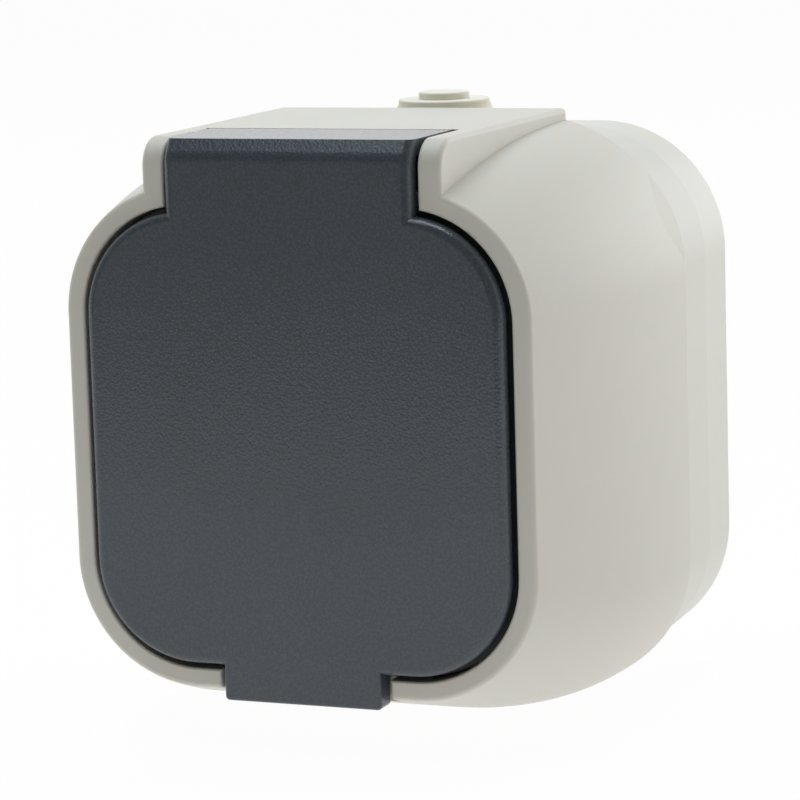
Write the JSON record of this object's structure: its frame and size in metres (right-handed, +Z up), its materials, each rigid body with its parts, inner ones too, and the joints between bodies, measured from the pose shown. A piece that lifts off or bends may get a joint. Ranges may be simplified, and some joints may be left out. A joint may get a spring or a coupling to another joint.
{
  "type": "outdoor weatherproof socket",
  "caption": "Surface-mounted weatherproof socket: a swelling pale housing with a hood, a sprung dark lid over a round earthed plug well, and a stepped cable membrane on top.",
  "frame": {"origin": "on the wall face, at the centre of the two wall screw slots, on the axis of the plug well", "axes": "+Z up, +Y into the wall, -Y out to the person who plugs in, +X to the right as seen from the front"},
  "size_m": [0.0742, 0.0643, 0.0796],
  "materials": {
    "housing_plastic": "fine moulded texture, warm light grey",
    "lid_plastic": "fine leather-like moulded grain, dark slate grey",
    "plate_plastic": "smooth moulding, dark slate grey",
    "carrier_plastic": "moulded thermoset, off white",
    "entry_rubber": "matt elastomer, light grey",
    "seal_rubber": "matt elastomer, black",
    "contact_brass": "stamped strip",
    "earth_steel": "nickel-plated strip",
    "plated_steel": "zinc plated",
    "spring_steel": "drawn spring wire and strip"
  },
  "bodies": {
    "housing": {"base_box": "housing_plastic", "front_cover": "housing_plastic", "socket_plate": "plate_plastic", "cable_grommet": "entry_rubber", "joint_gasket": "seal_rubber", "contact_carrier": "carrier_plastic", "carrier_cap": "carrier_plastic", "line_contact": "contact_brass", "neutral_contact": "contact_brass", "earth_strap": "earth_steel", "line_clamp": "plated_steel", "neutral_clamp": "plated_steel", "earth_clamp": "plated_steel", "contact_springs": "spring_steel", "hinge_spring": "spring_steel", "terminal_screws": "plated_steel", "cover_screws": "plated_steel", "carrier_screws": "plated_steel", "hinge_pin": "plated_steel"},
    "lid": {"lid": "lid_plastic", "lid_seal": "seal_rubber"}
  },
  "joints": [
    {"name": "lid_hinge", "type": "hinge", "parent": "housing", "child": "lid", "pos_m": [0, -0.0555, 0.0346], "axis": [-1, 0, 0], "range_deg": [0, 105], "stiffness_Nm_per_rad": 0.02, "springref_deg": -34.38, "deforming": ["hinge_spring"]}
  ]
}
